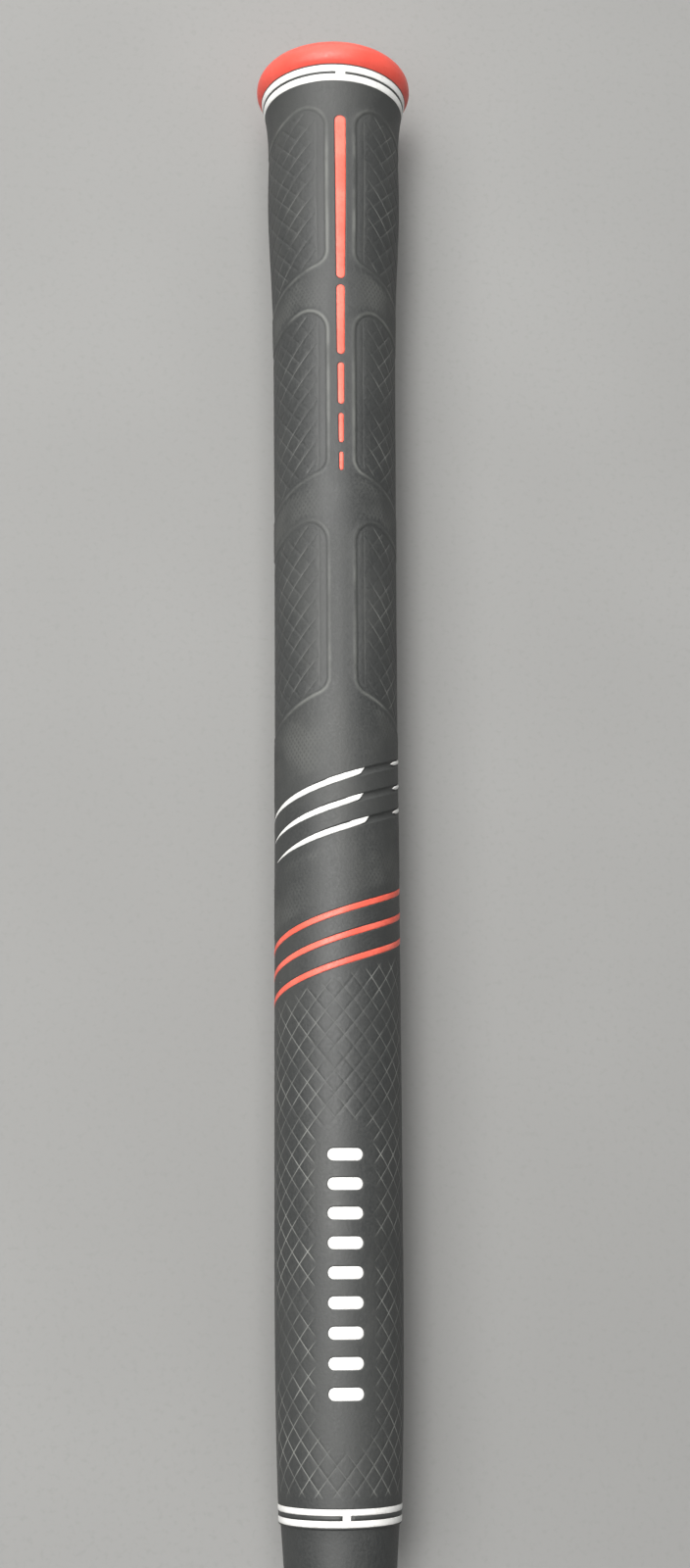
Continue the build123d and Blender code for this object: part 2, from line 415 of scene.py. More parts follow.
dashes = [Bar((0, low + wl / 2), (0, high - wh / 2), wl / 2, wh / 2)
          for low, high, wl, wh in DASHES]
bars = [Bar((BAR_WIDTH / 2 - BAR_LENGTH / 2, BAR_LOW + i * BAR_PITCH),
            (BAR_LENGTH / 2 - BAR_WIDTH / 2, BAR_LOW + i * BAR_PITCH), BAR_WIDTH / 2, BAR_WIDTH / 2)
        for i in range(BAR_COUNT)]
red_stripes = [Stripe(front, (arc(-RED_END), arc(RED_END)), (arc(RED_TAPER), arc(RED_TAPER)), RED_HALF)
               for front in RED_FRONTS]
white_tapers = tuple(arc(taper) for taper in WHITE_TAPERS)
white_grooves = [Stripe(front, (arc(left), arc(WHITE_RIGHT)), white_tapers, WHITE_HALF)
                 for front, left in zip(WHITE_FRONTS, WHITE_LEFTS)]
rings = {"mouth_ring": Ring(MOUTH_RING, MOUTH_RING_GAP), "cap_ring": Ring(CAP_RING, CAP_RING_GAP)}
recesses = dashes + bars + red_stripes + white_grooves + list(rings.values())


# ---- moulded panels

def rounded_corner(p, back, ahead, radius, count):
    """The arc that rounds the corner p between the directions back and ahead."""
    back, ahead = (np.array(v, float) / np.linalg.norm(v) for v in (back, ahead))
    half = math.acos(float(back @ ahead)) / 2
    bisector = (back + ahead) / np.linalg.norm(back + ahead)
    centre = np.array(p) + bisector * radius / math.sin(half)
    start = np.array(p) + back * radius / math.tan(half) - centre
    end = np.array(p) + ahead * radius / math.tan(half) - centre
    turn = math.atan2(start[0] * end[1] - start[1] * end[0], float(start @ end))
    out = []
    for t in np.linspace(0, turn, count):
        c, s = math.cos(t), math.sin(t)
        out.append(centre + np.array([c * start[0] - s * start[1], s * start[0] + c * start[1]]))
    return np.array(out)


def band(value, low, high, low_fade, high_fade):
    """1 between two limits, rising from 0 at each of them over its fade."""
    return smooth((value - low) / low_fade) * smooth((high - value) / high_fade)


def toward_side(b, blunt):
    """Distance from the spine, levelled off round the side so that the edges turn smoothly."""
    return SIDE - np.sqrt((SIDE - b) ** 2 + blunt ** 2)


def slanted_edge(b, height, shape):
    """Height of a panel's top or bottom edge, at a distance from the spine."""
    start, lift, slope, bend = shape
    s = toward_side(b, SIDE_BLUNT) - start
    return height + lift + slope * s + bend * s * s


def panel_path(top, bottom):
    """A quarter of a panel's outline: from the side along the top, down the spine, and back."""
    def top_edge(b):
        return slanted_edge(b, top, TOP_EDGE)

    def bottom_edge(b):
        return slanted_edge(b, bottom, BOTTOM_EDGE)

    radius, outward = TOP_CORNER
    upper = rounded_corner((PANEL_EDGE, top_edge(PANEL_EDGE)), outward, (0, -1), radius, 13)
    radius, outward = BOTTOM_CORNER
    lower = rounded_corner((PANEL_EDGE, bottom_edge(PANEL_EDGE)), (0, 1), outward, radius, 9)
    above = np.linspace(SIDE, upper[0, 0], 26)[:-1]
    below = np.linspace(lower[-1, 0], SIDE, 30)[1:]
    down = np.linspace(upper[-1, 1], lower[0, 1], 40)[1:-1]
    return np.vstack([
        np.stack([above, top_edge(above)], axis=1),
        upper,
        np.stack([np.full(len(down), PANEL_EDGE), down], axis=1),
        lower,
        np.stack([below, bottom_edge(below)], axis=1),
    ])


panel_paths = [panel_path(t, b) for t, b in zip(PANEL_TOPS, PANEL_BOTTOMS)]


def path_normals(path):
    """Unit normals of a panel path, pointing into the panel."""
    d = np.gradient(path, axis=0)
    d[0] = (-1, 0)
    d[-1] = (1, 0)
    d /= np.linalg.norm(d, axis=1)[:, None]
    return np.stack([-d[:, 1], d[:, 0]], axis=1)


def panel_depth(b, y):
    """How far inside the nearest panel a point is; negative outside. Takes folded points."""
    best = np.full(len(b), -99.0)
    for path in panel_paths:
        near = (y > path[:, 1].min() - 5) & (y < path[:, 1].max() + 5)
        bb, yy = b[near], y[near]
        if not len(bb):
            continue
        gap = np.full(len(bb), 1e9)
        side = np.zeros(len(bb))
        for p, q in zip(path[:-1], path[1:]):
            d = q - p
            t = np.clip(((bb - p[0]) * d[0] + (yy - p[1]) * d[1]) / (d @ d), 0, 1)
            u, v = bb - p[0] - t * d[0], yy - p[1] - t * d[1]
            g = np.hypot(u, v)
            closer = g < gap - 1e-9
            gap = np.where(closer, g, gap)
            side = np.where(closer, d[0] * v - d[1] * u, side)
        value = np.where(side >= 0, gap, -gap)
        best[near] = np.where(np.abs(value) < np.abs(best[near]), value, best[near])
    return best


# ---- lattices

# Crosshatches: distance between lines along the grip, number of them round it, height of the
# first, and half width and depth of a groove. MICRO's grooves are as wide as their cells.
LOWER = {"pitch": 3.85, "around": 21, "phase": 0.47, "half": 0.14, "depth": 0.044}
PANEL = {"pitch": 3.7, "around": 20, "half": 0.14}
MICRO = {"pitch": 1.2, "around": 84, "phase": 0.0, "depth": 0.09}
for lattice in (LOWER, PANEL, MICRO):
    lattice["rise"] = lattice["pitch"] * lattice["around"] / (2 * HALF)
    lattice["cos"] = math.cos(math.atan(lattice["rise"]))

# The panels' two families of grooves: which way they slant, their depth near the inner line, the
# depth added from a distance to the spine onwards, over a width, and how much lighter their lines
# are painted left and right: dust, and a painted highlight that is stronger on the right
STRONG = {"sign": -1, "least": 0.03, "more": 0.07, "from": INNER_LINE, "over": 5, "dust_and_highlight": (0.85, 1.35)}
WEAK = {"sign": 1, "least": 0.015, "more": 0.065, "from": 6.5, "over": 4, "dust_and_highlight": (0.45, 1.35)}
LINE_FULL_DEPTH, MOST_DUST_AND_HIGHLIGHT = 0.14, 0.6  # a panel groove this deep is painted fully lighter, by dust and painted highlight; the lightening stops at this

HATCH_LOW, HATCH_HIGH = 12.8, 95.3  # lower crosshatch: its low y, its height under the stripes
WINDOW_ENDS, WINDOW_HALF = (25.0, 66.5), 4.9  # the smooth window round the bars
WINDOW_SQUASH = 1.05  # how much blunter the window's ends are than half circles
MICRO_MARGIN, SPINE_HALF = 0.95, 1.9  # the fine crosshatch keeps clear of rims and spines
# Where it lies, as limits and fades: along y, and in heights relative to the stripes
MICRO_UPPER, MICRO_ABOVE_WHITE = (100.0, 226.5, 1.0, 6.0), 130.6
MICRO_BETWEEN_STRIPES = (107.6, 118.2, 1.2, 1.2)
MICRO_ACROSS_SPINE = (176, 182, 3, 3)  # it crosses the spine between two rows of panels
MICRO_BELOW_PANELS = 141.5  # and everywhere below the last row


def stripe_height(a, y):
    """Height along the grip relative to the stripes, made periodic behind the grip."""
    limit = arc(135)
    back = (HALF - np.abs(a)) * limit / (HALF - limit)
    return y - STRIPE_RISE * np.where(np.abs(a) <= limit, a, np.sign(a) * back)


def lower_share(a, y):
    """1 in the crosshatch of the lower hand, falling to 0 at its edges and window."""
    q = stripe_height(a, y)
    share = smooth((y - HATCH_LOW) / 0.8) * smooth((HATCH_HIGH - q) / 0.9)
    middle = (WINDOW_ENDS[0] + WINDOW_ENDS[1]) / 2
    along = np.maximum(np.abs(y - middle) - (WINDOW_ENDS[1] - middle), 0)
    window = np.hypot(a, along * WINDOW_SQUASH)
    return share * smooth((window - WINDOW_HALF) / 1.3)


def micro_share(a, y):
    """1 where the rubber has its fine crosshatch."""
    b = fold(a)
    q = stripe_height(a, y)
    clear = smooth((-panel_depth(b, y) - MICRO_MARGIN) / 0.5)
    spine = smooth((b - SPINE_HALF) / 0.9)
    spine = np.maximum(spine, smooth((MICRO_BELOW_PANELS - y) / 4.0))
    spine = np.maximum(spine, band(y, *MICRO_ACROSS_SPINE))
    upper = band(y, *MICRO_UPPER) * smooth((q - MICRO_ABOVE_WHITE) / 1.6)
    return clear * spine * np.maximum(upper, band(q, *MICRO_BETWEEN_STRIPES))


def lattice_gap(a, y, kind, sign, phase):
    """Distance to the nearest line of one family, across the line."""
    t = (y - phase - sign * kind["rise"] * a) / kind["pitch"]
    return np.abs(t - np.round(t)) * kind["pitch"] * kind["cos"]


def groove(gap, half, depth):
    """A V groove."""
    return depth * np.clip(1 - gap / half, 0, 1)


PANEL_ANCHORS = [t - 10.0 for t in PANEL_TOPS]  # where a strong groove meets the inner line
# the inner line's painted lightening, its dust and painted highlight, is weaker on the left
INNER = {"half": 0.13, "depth": 0.035, "dust_and_highlight_half": 0.16, "dust_and_highlight": 0.4, "dust_and_highlight_left": 0.6}
MICRO_DUST_AND_HIGHLIGHT = 0.22

# The parts of a panel's rim: height, where each lies as a distance into the panel, and its width
BEAD, BEAD_AT, BEAD_HALF = 0.045, -0.42, 0.38
DROP, DROP_FROM, DROP_WIDTH = 0.08, -0.1, 0.36
CREASE, CREASE_AT, CREASE_HALF = 0.04, 0.26, 0.22
RISE, RISE_FROM, RISE_WIDTH = 0.045, 0.48, 1.8
BEAD_HIGHLIGHT_AT, BEAD_HIGHLIGHT_HALF = -0.32, 0.42  # where the rim's bead is painted lighter, a painted highlight
# Lines of the mesh that shape the rim
RIM_LINES = (-0.8, -0.6, BEAD_AT, -0.24, DROP_FROM, 0.08, CREASE_AT, RISE_FROM, 0.95)
SIDE_LINES_FROM, SIDE_LINES_WIDTH, FRONT_LINES_SHARE = 2.5, 4.5, 0.3  # groove lines painted lighter towards the sides, a painted highlight; the front keeps this share


def rim_height(inside):
    """A panel's rim: a fine raised bead outside, a step down, and a crease at its foot."""
    bead = BEAD * np.clip(1 - ((inside - BEAD_AT) / BEAD_HALF) ** 2, 0, 1) ** 1.5
    step = -DROP * smooth((inside - DROP_FROM) / DROP_WIDTH)
    crease = -CREASE * np.clip(1 - np.abs(inside - CREASE_AT) / CREASE_HALF, 0, 1)
    return bead + step + crease + RISE * smooth((inside - RISE_FROM) / RISE_WIDTH)


def panel_row(y):
    """Which row of panels a height belongs to, counted from the cap."""
    return np.searchsorted([-limit for limit in PANEL_ROW_LIMITS], -y)


def panel_phases(row):
    """Phases of the strong and weak grooves, so that they cross on the inner line."""
    anchor = np.array(PANEL_ANCHORS)[row]
    return anchor + PANEL["rise"] * INNER_LINE, anchor - PANEL["rise"] * INNER_LINE


def relief(a, y):
    """Height of the moulded rubber over the sleeve, the lightening of its grooves (dust, and painted
    highlight), and the painted highlight along its panel rims.
    """
    b = fold(a)
    inside = panel_depth(b, y)
    cut = np.zeros(len(a))

    share = lower_share(a, y)
    for sign in (-1, 1):
        gap = lattice_gap(a, y, LOWER, sign, LOWER["phase"])
        cut = np.maximum(cut, share * groove(gap, LOWER["half"], LOWER["depth"]))
    # groove lines painted lighter: dust, and a painted highlight where their walls catch light
    dust_and_highlight = np.clip(cut / LOWER["depth"], 0, 1)

    share = np.where(inside > 0, smooth((b - INNER_LINE) / 0.4) * smooth((inside - 0.5) / 0.4), 0)
    for family, phase in zip((STRONG, WEAK), panel_phases(panel_row(y))):
        gap = lattice_gap(b, y, PANEL, family["sign"], phase)
        deep = family["least"] + family["more"] * smooth((b - family["from"]) / family["over"])
        line = share * groove(gap, PANEL["half"], deep)
        cut = np.maximum(cut, line)
        # painted highlight: the lines are painted lighter on the right than on the left
        left, right = family["dust_and_highlight"]
        full = np.clip(line / LINE_FULL_DEPTH, 0, MOST_DUST_AND_HIGHLIGHT)
        dust_and_highlight = np.maximum(dust_and_highlight, full * np.where(a > 0, right, left))

    share = micro_share(a, y)
    gap = np.minimum(lattice_gap(a, y, MICRO, -1, MICRO["phase"]),
                     lattice_gap(a, y, MICRO, 1, MICRO["phase"]))
    reach = MICRO["pitch"] * MICRO["cos"] / 2
    fine = share * np.clip(1 - gap / reach, 0, 1)
    # the fine crosshatch's grooves painted lighter too: dust and painted highlight
    dust_and_highlight = np.maximum(dust_and_highlight, MICRO_DUST_AND_HIGHLIGHT * fine)
    level = share * MICRO["depth"] * 2 / 3  # keeps the fine crosshatch level on average

    share = smooth((inside - 0.3) / 0.5)
    gap = np.abs(b - INNER_LINE)
    cut = np.maximum(cut, share * groove(gap, INNER["half"], INNER["depth"]))
    line = share * groove(gap, INNER["dust_and_highlight_half"], INNER["dust_and_highlight"])
    dust_and_highlight = np.maximum(dust_and_highlight, line * np.where(a > 0, 1.0, INNER["dust_and_highlight_left"]))
    # painted highlight: the groove lines are painted lighter towards the sides than on the front
    dust_and_highlight *= FRONT_LINES_SHARE + (1 - FRONT_LINES_SHARE) * smooth((np.abs(a) - SIDE_LINES_FROM) / SIDE_LINES_WIDTH)
    # painted highlight along the bead of each panel's rim
    rim = groove(np.abs(inside - BEAD_HIGHLIGHT_AT), BEAD_HIGHLIGHT_HALF, 1.0)
    form = rim_height(inside) + level - MICRO["depth"] * fine

    for shape in recesses:
        near = in_box(shape, a, y)
        depth = PAINT_DEPTH * np.clip(shape.inside(a[near], y[near]) / WALL, 0, 1)
        cut[near] = np.maximum(cut[near], depth)
        form[near] *= 1 - depth / PAINT_DEPTH
    return form - cut, dust_and_highlight, rim


# ---- the sleeve's mesh

def runs(share, least):
    """Start and end indices of the stretches where the share is above a limit."""
    on = np.concatenate([[False], share > least, [False]])
    change = np.flatnonzero(on[1:] != on[:-1])
    return list(zip(change[::2], change[1::2] - 1))


def lattice_lines(kind, phases, a, span, share_at, least):
    """Straight stretches of a lattice's grooves, where their share is above a limit."""
    reach = kind["rise"] * a[-1]
    for sign, phase in zip((-1, 1), phases):
        first = math.floor((span[0] - phase - reach) / kind["pitch"])
        last = math.ceil((span[1] - phase + reach) / kind["pitch"])
        for k in range(first, last + 1):
            for off in (-kind["half"], 0, kind["half"]):
                y = phase + k * kind["pitch"] + sign * kind["rise"] * a + off / kind["cos"]
                near = (y > span[0]) & (y < span[1])
                share = np.full(len(a), least - 1.0)
                share[near] = share_at(a[near], y[near])
                for i, j in runs(share, least):
                    yield np.stack([a[[i, j]], y[[i, j]]], axis=1)


def cell_dots(kind, phases, cells, parts):
    """Points inside the cells of a lattice, in its own two directions."""
    strong, weak = phases
    out = []
    for i in range(*cells[0]):
        for j in range(*cells[1]):
            for u in parts:
                for v in parts:
                    high = strong + kind["pitch"] * (i + u)
                    low = weak + kind["pitch"] * (j + v)
                    out.append(((high - low) / (2 * kind["rise"]), (high + low) / 2))
    return np.array(out)


def quarters(path):
    """A folded path in its four places round the grip."""
    path = np.asarray(path, float)
    for sign in (-1, 1):
        yield np.stack([sign * path[:, 0], path[:, 1]], axis=1)
        yield np.stack([sign * (HALF - path[:, 0]), path[:, 1]], axis=1)


def draw_recesses(sheet):
    """The outline of every painted recess, a line round it, and the foot of its steep side."""
    for shape in dashes + bars + red_stripes + white_grooves:
        for inset in (-0.22, 0.0, WALL):
            for loop in shape.loops(inset):
                sheet.line(loop, RECESS_STEP, closed=True)
    for ring in rings.values():
        for inset in (0.0, WALL):
            for path in ring.paths(inset):
                sheet.line(path, RING_STEP)
        for y in (ring.span[0] - 0.18, ring.span[1] + 0.18):
            if LOW_END < y < HIGH_END:
                sheet.line([(-HALF, y), (HALF, y)], RING_STEP)


def draw_panel_rims(sheet):
    """The lines of each panel's rim, and the straight line inside it."""
    for path in panel_paths:
        normals = path_normals(path)
        for off in RIM_LINES:
            for quarter in quarters(path + normals * off):
                sheet.line(quarter, RIM_STEP)
        y = np.linspace(path[:, 1].min(), path[:, 1].max(), 400)
        for off in (-INNER["half"], 0.0, INNER["half"]):
            b = np.full(len(y), INNER_LINE + off)
            for i, j in runs(panel_depth(b, y) - 0.5, 0):
                for quarter in quarters(np.stack([b[[i, j]], y[[i, j]]], axis=1)):
                    sheet.line(quarter, INNER_STEP)


def grooved_depth(b, y):
    """How far a point lies inside the part of a panel that has grooves."""
    return np.minimum(panel_depth(b, y) - 0.55, b - INNER_LINE - 0.15)


def draw_lattices(sheet):
    """The grooves of the lower hand and of the panels."""
    round_it = np.linspace(-HALF, HALF, 700)
    phases = (LOWER["phase"], LOWER["phase"])
    for path in lattice_lines(LOWER, phases, round_it, (13.0, 110.0), lower_share, 0.02):
        sheet.line(path, GROOVE_STEP)
    outwards = np.linspace(0, SIDE, 260)
    for number, path in enumerate(panel_paths):
        span = path[:, 1].min(), path[:, 1].max()
        for groove_path in lattice_lines(PANEL, panel_phases(number), outwards, span, grooved_depth, 0):
            for quarter in quarters(groove_path):
                sheet.line(quarter, GROOVE_STEP)


def draw_cells(sheet):
    """Points inside the cells of the lower hand's lattice and of the panels'."""
    parts = (0.24, 0.5, 0.76)
    dots = cell_dots(LOWER, (LOWER["phase"], LOWER["phase"]), ((-12, 44), (-12, 44)), parts)
    dots = dots[(np.abs(dots[:, 0]) < HALF - 0.3) & (dots[:, 1] > 12) & (dots[:, 1] < 112)]
    sheet.dots(dots[lower_share(dots[:, 0], dots[:, 1]) > 0.05])
    for number, path in enumerate(panel_paths):
        dots = cell_dots(PANEL, panel_phases(number), ((-12, 12), (-12, 12)), parts)
        dots = dots[(dots[:, 0] > 0) & (dots[:, 0] < SIDE - 0.25)]
        dots = dots[(panel_depth(*dots.T) > 1.2) & (dots[:, 0] > INNER_LINE + 0.35)]
        dots = dots[(dots[:, 1] > path[:, 1].min()) & (dots[:, 1] < path[:, 1].max())]
        for quarter in quarters(dots):
            sheet.dots(quarter)


def draw_plain_rubber(sheet):
    """A staggered grid of points wherever nothing else is drawn."""
    columns = np.linspace(-HALF, HALF, 64, endpoint=False) + HALF / 64
    plain = np.array([(a + (0.54 if k % 2 else 0.0), y)
                      for k, y in enumerate(np.arange(LOW_END + 0.9, HIGH_END - 0.4, SHEET_STEP))
                      for a in columns])
    plain = plain[np.abs(plain[:, 0]) < HALF - 0.35]
    a, y = plain.T
    b = fold(a)
    depth = panel_depth(b, y)
    free = (lower_share(a, y) < 0.03) & (micro_share(a, y) < 0.03)
    free &= ((depth < -1.1) | (depth > 1.25)) & ((depth < 0) | (b < INNER_LINE - 0.3))
    for shape in recesses:
        near = in_box(shape, a, y)
        free[near] &= np.abs(shape.inside(a[near], y[near])) > 0.42
    sheet.dots(plain[free])


def sleeve_sheet():
    """Every line and point of the sleeve's skin, ready to be triangulated."""
    sheet = Sheet()
    draw_recesses(sheet)
    draw_panel_rims(sheet)
    draw_lattices(sheet)
    micro_nodes(sheet)
    draw_cells(sheet)
    draw_plain_rubber(sheet)
    sheet.border(SHEET_COLUMNS, LOW_END, HIGH_END, SHEET_STEP)
    return sheet


def micro_nodes(sheet):
    """The fine crosshatch: groove crossings joined by lines, and a point in each cell."""
    step_a = HALF / MICRO["around"]
    step_y = MICRO["pitch"] / 2
    cols = np.arange(-MICRO["around"], MICRO["around"] + 1)
    rows = np.arange(math.floor(100 / step_y), math.ceil(230 / step_y))
    grid_a, grid_y = np.meshgrid(cols * step_a, rows * step_y, indexing="ij")
    share = micro_share(grid_a.ravel(), grid_y.ravel()).reshape(grid_a.shape)
    on = share > 0.04
    number = {}
    for i, j in zip(*np.nonzero(on)):
        number[i, j] = len(sheet.points)
        sheet.points.append((float(grid_a[i, j]), float(grid_y[i, j])))
    for i, j in number:
        if (cols[i] + rows[j]) % 2 == 0:
            for up in (-1, 1):
                if (i + 1, j + up) in number:
                    sheet.edges.append((number[i, j], number[i + 1, j + up]))


def lathe(profile, segments):
    """Points and outward quads of a closed profile turned round Y: a list of (y, radius)."""
    turns = np.arange(segments) * 2 * math.pi / segments
    co = [(r * math.sin(t) * MM, y * MM, r * math.cos(t) * MM) for y, r in profile for t in turns]
    faces = []
    for row in range(len(profile)):
        here, there = row * segments, (row + 1) % len(profile) * segments
        for k in range(segments):
            n = (k + 1) % segments
            faces.append((there + k, there + n, here + n, here + k))
    return co, faces


def make_sleeve():
    """The whole sleeve: its skin, carried on round both ends and through the bore."""
    a, y, faces = sleeve_sheet().triangles()
    height, dust_and_highlight, rim = relief(a, y)
    co = wrap(a, y, height)
    faces = face_outward(a, y, faces)
    low_row = sorted(np.flatnonzero(np.abs(y - LOW_END) < 1e-4), key=lambda i: a[i])
    high_row = sorted(np.flatnonzero(np.abs(y - HIGH_END) < 1e-4), key=lambda i: a[i])
    co, quads = [tuple(c) for c in co], []

    def skirt(row, profile, reverse):
        """Carries a row of the sheet on through a turned profile; returns its last row."""
        last = list(row)
        for y_at, r_at in profile:
            now = []
            for i in row:
                turn = a[i] / SHEET_RADIUS
                now.append(len(co))
                co.append((r_at * math.sin(turn) * MM, y_at * MM, r_at * math.cos(turn) * MM))
            for k in range(len(row)):
                n = (k + 1) % len(row)
                quad = (last[k], last[n], now[n], now[k])
                quads.append(quad[::-1] if reverse else quad)
            last = now
        return last

    low_last = skirt(low_row, LIP_PROFILE, True)
    high_last = skirt(high_row, CAP_END_PROFILE, False)
    dust_and_highlight, rim = (np.concatenate([v, np.zeros(len(co) - len(v))]) for v in (dust_and_highlight, rim))
    # the two profiles meet in one row of quads, in the cap's groove
    for k in range(len(low_last)):
        n = (k + 1) % len(low_last)
        quads.append((high_last[k], high_last[n], low_last[n], low_last[k]))
    return new_object("sleeve_rubber", co, [tuple(f) for f in faces] + quads,
                      {"dust_and_highlight": dust_and_highlight, "rim": rim})


FILL_GAP = 0.012  # clearance between a fill and its recess, all round
CROWN_REACH = 0.33  # distance over which a fill's crown rises from its edge
FILL_INSETS = (FILL_GAP, 0.09, 0.20, CROWN_REACH)  # its outline, and the lines of its crown
EDGE_SINK = 0.06  # how far its edge lies under the rubber's surface
FILL_LIFT = 0.02  # clearance over the recess's floor
EDGE_DARK_WIDTH = 0.3  # width of the darker band along the paint's edge, in its material


def fill_of(name, shape, crown, spacing):
    """The paint in a recess: a thin closed solid with a soft crown, wrapped round the sleeve."""
    def depth_at(a, y):
        return shape.inside(a, y) - FILL_GAP

    is_ring = isinstance(shape, Ring)
    sheet = Sheet()
    for inset in FILL_INSETS:
        if is_ring:
            for path in shape.paths(inset):
                sheet.line(path, RING_STEP)
        else:
            for loop in shape.loops(inset):
                sheet.line(loop, LOOP_STEP, closed=True)
    low_a, high_a, low_y, high_y = shape.box
    cols = np.arange(low_a, high_a + spacing, spacing)
    rows = np.arange(low_y, high_y + spacing, spacing)
    grid = np.array([(c, r) for c in cols for r in rows if abs(c) < HALF - 0.2])
    sheet.dots(grid[depth_at(*grid.T) > CROWN_REACH + 0.3 * spacing])
    if is_ring:
        for side in (-HALF, HALF):
            ys = sorted({round(p[1], 5) for p in sheet.points if abs(p[0] - side) < 1e-6})
            sheet.polyline([(side, v) for v in ys])
        a, y, faces = sheet.triangles(lambda u, v: depth_at(u, v) > 0)
    else:
        a, y, faces = sheet.triangles(lambda u, v: within(sheet.loops[0], u, v))
    faces = face_outward(a, y, faces)
    depth = np.clip(depth_at(a, y), 0, None)
    arch = np.sqrt(1 - (1 - np.clip(depth / CROWN_REACH, 0, 1)) ** 2)
    top = -EDGE_SINK + (crown + EDGE_SINK) * arch
    edge = 1 - np.clip(depth / EDGE_DARK_WIDTH, 0, 1)
    under = len(a)
    co = np.vstack([wrap(a, y, top), wrap(a, y, np.full(under, FILL_LIFT - PAINT_DEPTH))])
    sides = [(j, i, i + under, j + under) for i, j in border_loops(faces)]
    everything = [tuple(f) for f in faces] + [tuple(f[::-1] + under) for f in faces] + sides
    return new_object(name, co, everything, {"edge": np.concatenate([edge, edge])})


# ---- materials

class Shade:
    """Short names for building one material's nodes."""

    def __init__(self, name):
        self.mat = bpy.data.materials.new(name)
        self.mat.use_nodes = True
        self.nodes = self.mat.node_tree.nodes
        self.surface = self.nodes["Principled BSDF"]
        self.place = self.node("TexCoord", {}, "Object")

    def put(self, value, socket):
        """Links a node's output to a socket, or sets the socket's own value."""
        if isinstance(value, bpy.types.NodeSocket):
            self.mat.node_tree.links.new(value, socket)
        elif socket.type == "RGBA":
            socket.default_value = (*value, 1.0)
        else:
            socket.default_value = value

    def node(self, kind, inputs, output, **settings):
        """Adds a node with these settings and inputs, and returns one of its outputs."""
        node = self.nodes.new("ShaderNode" + kind)
        for key, value in settings.items():
            setattr(node, key, value)
        for key, value in inputs.items():
            self.put(value, node.inputs[key])
        return node.outputs[output]

    def stretched(self, x, y, z):
        return self.node("Mapping", {"Vector": self.place, "Scale": (x, y, z)}, "Vector")

    def noise(self, scale, detail=3.0, rough=0.55, place=None):
        inputs = {"Vector": place or self.place, "Scale": scale, "Detail": detail, "Roughness": rough}
        return self.node("TexNoise", inputs, "Fac")

    def cells(self, scale, output="Distance"):
        return self.node("TexVoronoi", {"Vector": self.place, "Scale": scale}, output)

    def attribute(self, name):
        return self.node("Attribute", {}, "Fac", attribute_name=name)

    def remap(self, value, low, high, to_low=0.0, to_high=1.0):
        limits = {"From Min": low, "From Max": high, "To Min": to_low, "To Max": to_high}
        return self.node("MapRange", {"Value": value, **limits}, "Result",
                         interpolation_type="SMOOTHSTEP")

    def math(self, how, x, y, clamp=False):
        return self.node("Math", {0: x, 1: y}, 0, operation=how, use_clamp=clamp)

    def mix(self, share, x, y):
        return self.node("Mix", {"Factor": share, "A": x, "B": y}, "Result", data_type="RGBA")

    def bump(self, height, distance, strength=1.0, under=None):
        inputs = {"Height": height, "Distance": distance, "Strength": strength}
        if under is not None:
            inputs["Normal"] = under
        return self.node("Bump", inputs, "Normal")

    def finish(self, **inputs):
        """Sets the surface's inputs, named with _ for a space, and returns the material."""
        for key, value in inputs.items():
            self.put(value, self.surface.inputs[key.replace("_", " ")])
        return self.mat


def rubber_material():
    """Matt black rubber: rub marks, grain, grooves painted lighter (dust, and painted highlight), rims
    painted lighter as a painted highlight, and a few pale specks.
    """
    s = Shade("black_rubber")
    patches = s.noise(38, 4, 0.6)
    streaks = s.noise(55, 4, 0.6, s.stretched(2.2, 0.5, 2.2))
    grain = s.noise(2600, 2, 0.6)
    pores = s.cells(1500)
    worn = s.remap(patches, 0.42, 0.68)
    base = s.mix(worn, (0.028, 0.030, 0.030), (0.040, 0.042, 0.041))
    base = s.mix(s.remap(streaks, 0.5, 0.8, 0.0, 0.5), base, (0.052, 0.053, 0.050))
    base = s.mix(s.remap(grain, 0.35, 0.7, 0.0, 0.35), base, (0.060, 0.062, 0.060))
    # grooves painted a lighter grey: partly dust, partly painted highlight
    dust_and_highlight = s.math("MULTIPLY", s.attribute("dust_and_highlight"), s.remap(s.noise(130, 4), 0.36, 0.66, 0.15, 0.9))
    base = s.mix(dust_and_highlight, base, (0.235, 0.24, 0.225))
    # the panel rims' beads painted lighter: a painted highlight
    rim = s.math("MULTIPLY", s.attribute("rim"), s.remap(s.noise(85, 4), 0.38, 0.66, 0.10, 0.75))
    base = s.mix(rim, base, (0.165, 0.17, 0.158))
    specks = s.cells(210)
    speck_on = s.remap(s.cells(210, "Color"), 0.80, 0.82)
    speck = s.math("MULTIPLY", s.remap(specks, 0.035, 0.02), speck_on)
    base = s.mix(speck, base, (0.42, 0.42, 0.40))
    rough = s.remap(patches, 0.3, 0.7, 0.53, 0.61)
    rough = s.math("ADD", rough, s.math("MULTIPLY", s.attribute("dust_and_highlight"), 0.12))
    rough = s.math("ADD", rough, s.remap(grain, 0.3, 0.7, -0.05, 0.07), clamp=True)
    fine = s.bump(grain, 0.00005, 0.5)
    return s.finish(Base_Color=base, Roughness=rough, Specular_IOR_Level=0.55,
                    Normal=s.bump(pores, 0.00004, 0.35, fine))


